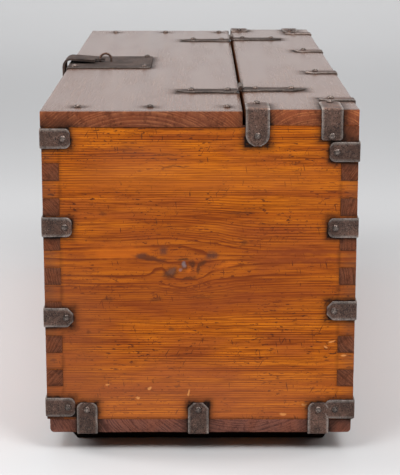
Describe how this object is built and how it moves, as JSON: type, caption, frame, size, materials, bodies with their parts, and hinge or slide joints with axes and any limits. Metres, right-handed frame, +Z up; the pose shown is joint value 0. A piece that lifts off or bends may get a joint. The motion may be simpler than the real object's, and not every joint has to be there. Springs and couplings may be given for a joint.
{
  "type": "wooden chest",
  "caption": "Long iron-strapped pine chest on low runners, with a half-depth lid that folds back on strap hinges and a hinged hasp for a bar lock.",
  "frame": {"origin": "middle of the footprint of the whole chest at floor level", "axes": "+X along the chest, -Y towards the lock side, +Z up"},
  "size_m": [0.9386, 0.3991, 0.4321],
  "materials": {
    "pine": "oiled and polished old pine, satin to glossy",
    "dark_pine": "darker old pine, matt",
    "wrought_iron": "dark hammered iron, lightly pitted, worn on the edges",
    "forged_fittings": "dark forged iron with brown rust",
    "nail_iron": "dark iron, polished by wear on the domes"
  },
  "bodies": {
    "chest": {"front_board": "pine", "back_board": "pine", "right_end_board": "pine", "left_end_board": "pine", "rear_top_board": "pine", "bottom_board": "dark_pine", "foot_right": "dark_pine", "foot_left": "dark_pine", "corner_strap_front_right_1": "wrought_iron", "corner_strap_front_right_2": "wrought_iron", "corner_strap_front_right_3": "wrought_iron", "corner_strap_front_right_4": "wrought_iron", "corner_strap_front_left_1": "wrought_iron", "corner_strap_front_left_2": "wrought_iron", "corner_strap_front_left_3": "wrought_iron", "corner_strap_front_left_4": "wrought_iron", "corner_strap_back_right_1": "wrought_iron", "corner_strap_back_right_2": "wrought_iron", "corner_strap_back_right_3": "wrought_iron", "corner_strap_back_right_4": "wrought_iron", "corner_strap_back_left_1": "wrought_iron", "corner_strap_back_left_2": "wrought_iron", "corner_strap_back_left_3": "wrought_iron", "corner_strap_back_left_4": "wrought_iron", "bottom_strap_right_1": "wrought_iron", "bottom_strap_right_2": "wrought_iron", "bottom_strap_right_3": "wrought_iron", "bottom_strap_left_1": "wrought_iron", "bottom_strap_left_2": "wrought_iron", "bottom_strap_left_3": "wrought_iron", "long_edge_straps": "wrought_iron", "top_bracket_right": "wrought_iron", "top_bracket_left": "wrought_iron", "rear_corner_strap_right": "wrought_iron", "rear_corner_strap_left": "wrought_iron", "rear_edge_strap_1": "wrought_iron", "rear_edge_strap_2": "wrought_iron", "rear_edge_strap_3": "wrought_iron", "rear_edge_strap_4": "wrought_iron", "hinge_right_rear_leaf": "wrought_iron", "hinge_left_rear_leaf": "wrought_iron", "lock_plate": "wrought_iron", "hinge_right_pin": "forged_fittings", "hinge_left_pin": "forged_fittings", "lock_staples": "forged_fittings", "nails_right_end": "nail_iron", "nails_left_end": "nail_iron", "nails_front": "nail_iron", "nails_back": "nail_iron", "nails_top": "nail_iron", "nails_underside": "nail_iron"},
    "lid": {"lid_board": "pine", "lid_cleat_right": "dark_pine", "lid_cleat_left": "dark_pine", "hinge_right_lid_leaf": "wrought_iron", "hinge_left_lid_leaf": "wrought_iron", "hasp_plate": "wrought_iron", "hasp_staple": "forged_fittings", "nails_lid": "nail_iron"},
    "hasp": {"hasp": "wrought_iron"}
  },
  "joints": [
    {"name": "lid_hinge", "type": "hinge", "parent": "chest", "child": "lid", "pos_m": [0, 0.061, 0.423], "axis": [-1, 0, 0], "range_deg": [0, 170]},
    {"name": "hasp_hinge", "type": "hinge", "parent": "lid", "child": "hasp", "pos_m": [0, -0.126, 0.4225], "axis": [-1, 0, 0], "range_deg": [0, 140]}
  ]
}
